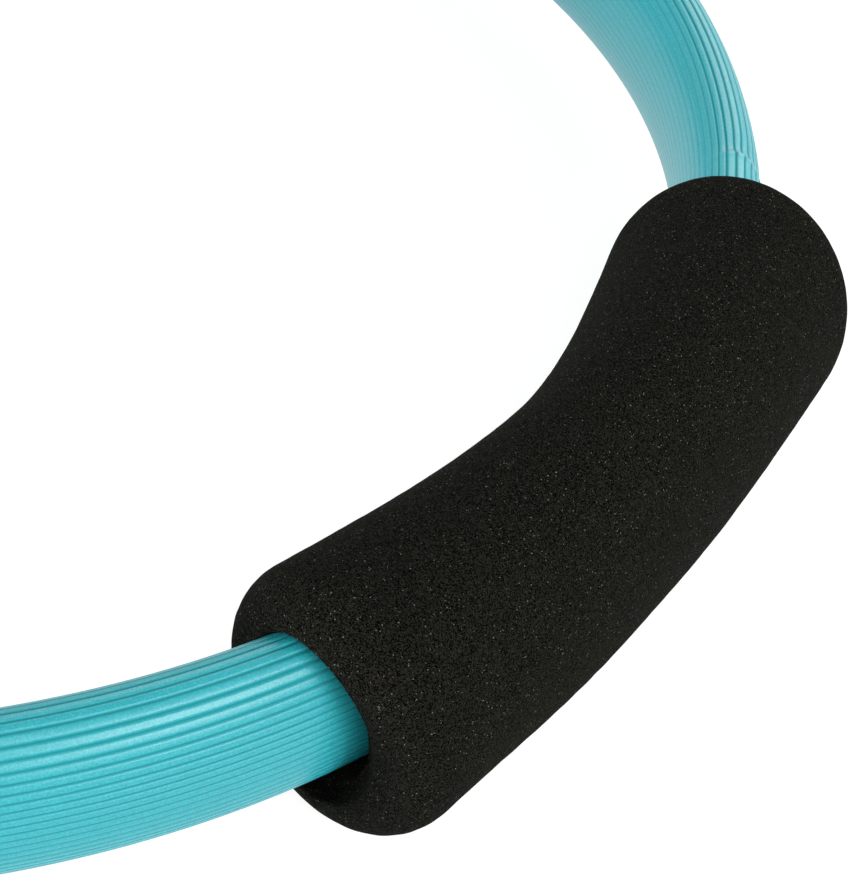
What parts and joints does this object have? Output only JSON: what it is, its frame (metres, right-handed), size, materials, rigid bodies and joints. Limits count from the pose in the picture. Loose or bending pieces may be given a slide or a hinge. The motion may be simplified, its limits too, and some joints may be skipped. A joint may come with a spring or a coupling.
{
  "type": "pilates ring",
  "caption": "Springy exercise ring: a ribbed oval tube bent into a circle, with a foam grip on each side that is pressed toward the other.",
  "frame": {"origin": "middle of the ring, on the floor under the grips", "axes": "+Z along the ring's axis, up; +X from the ring's middle through the right-hand grip; +Y to the rear half of the ring"},
  "size_m": [0.3754, 0.3562, 0.0515],
  "materials": {
    "tube_plastic": "satin, fine ribs along the tube",
    "grip_foam": "matte closed-cell foam",
    "spring_strip": "glass fibre strip",
    "plug_plastic": "moulded",
    "pin_steel": "plain steel"
  },
  "bodies": {
    "left_grip": {"left_grip_foam": "grip_foam", "left_plug_inner": "plug_plastic", "left_plug_outer": "plug_plastic", "left_pin": "pin_steel"},
    "front_arc": {"front_tube": "tube_plastic", "front_strip_inner": "spring_strip", "front_strip_middle": "spring_strip", "front_strip_outer": "spring_strip"},
    "rear_arc": {"rear_tube": "tube_plastic", "rear_strip_inner": "spring_strip", "rear_strip_middle": "spring_strip", "rear_strip_outer": "spring_strip"},
    "right_grip": {"right_grip_foam": "grip_foam"},
    "right_joint": {"right_plug_inner": "plug_plastic", "right_plug_outer": "plug_plastic", "right_pin": "pin_steel"}
  },
  "joints": [
    {"name": "squeeze", "type": "slide", "parent": "left_grip", "child": "front_arc", "axis": [-0.7359, -0.6771, 0], "range_m": [-0.0136, 0.0476], "stiffness_N_per_m": 596, "deforming": ["front_tube", "front_strip_inner", "front_strip_middle", "front_strip_outer"]},
    {"name": "squeeze_right_grip", "type": "slide", "parent": "front_arc", "child": "right_grip", "axis": [-0.7359, 0.6771, 0], "range_m": [-0.0136, 0.0476], "stiffness_N_per_m": 596},
    {"name": "squeeze_rear", "type": "slide", "parent": "left_grip", "child": "rear_arc", "axis": [-0.7359, 0.6771, 0], "range_m": [-0.0136, 0.0476], "stiffness_N_per_m": 596, "deforming": ["rear_tube", "rear_strip_inner", "rear_strip_middle", "rear_strip_outer"]},
    {"name": "squeeze_right_joint", "type": "slide", "parent": "rear_arc", "child": "right_joint", "axis": [-0.7359, -0.6771, 0], "range_m": [-0.0136, 0.0476], "stiffness_N_per_m": 596}
  ],
  "couplings": [
    {"joint": "squeeze_right_grip", "follows": "squeeze", "ratio": 1},
    {"joint": "squeeze_rear", "follows": "squeeze", "ratio": 1},
    {"joint": "squeeze_right_joint", "follows": "squeeze", "ratio": 1}
  ]
}
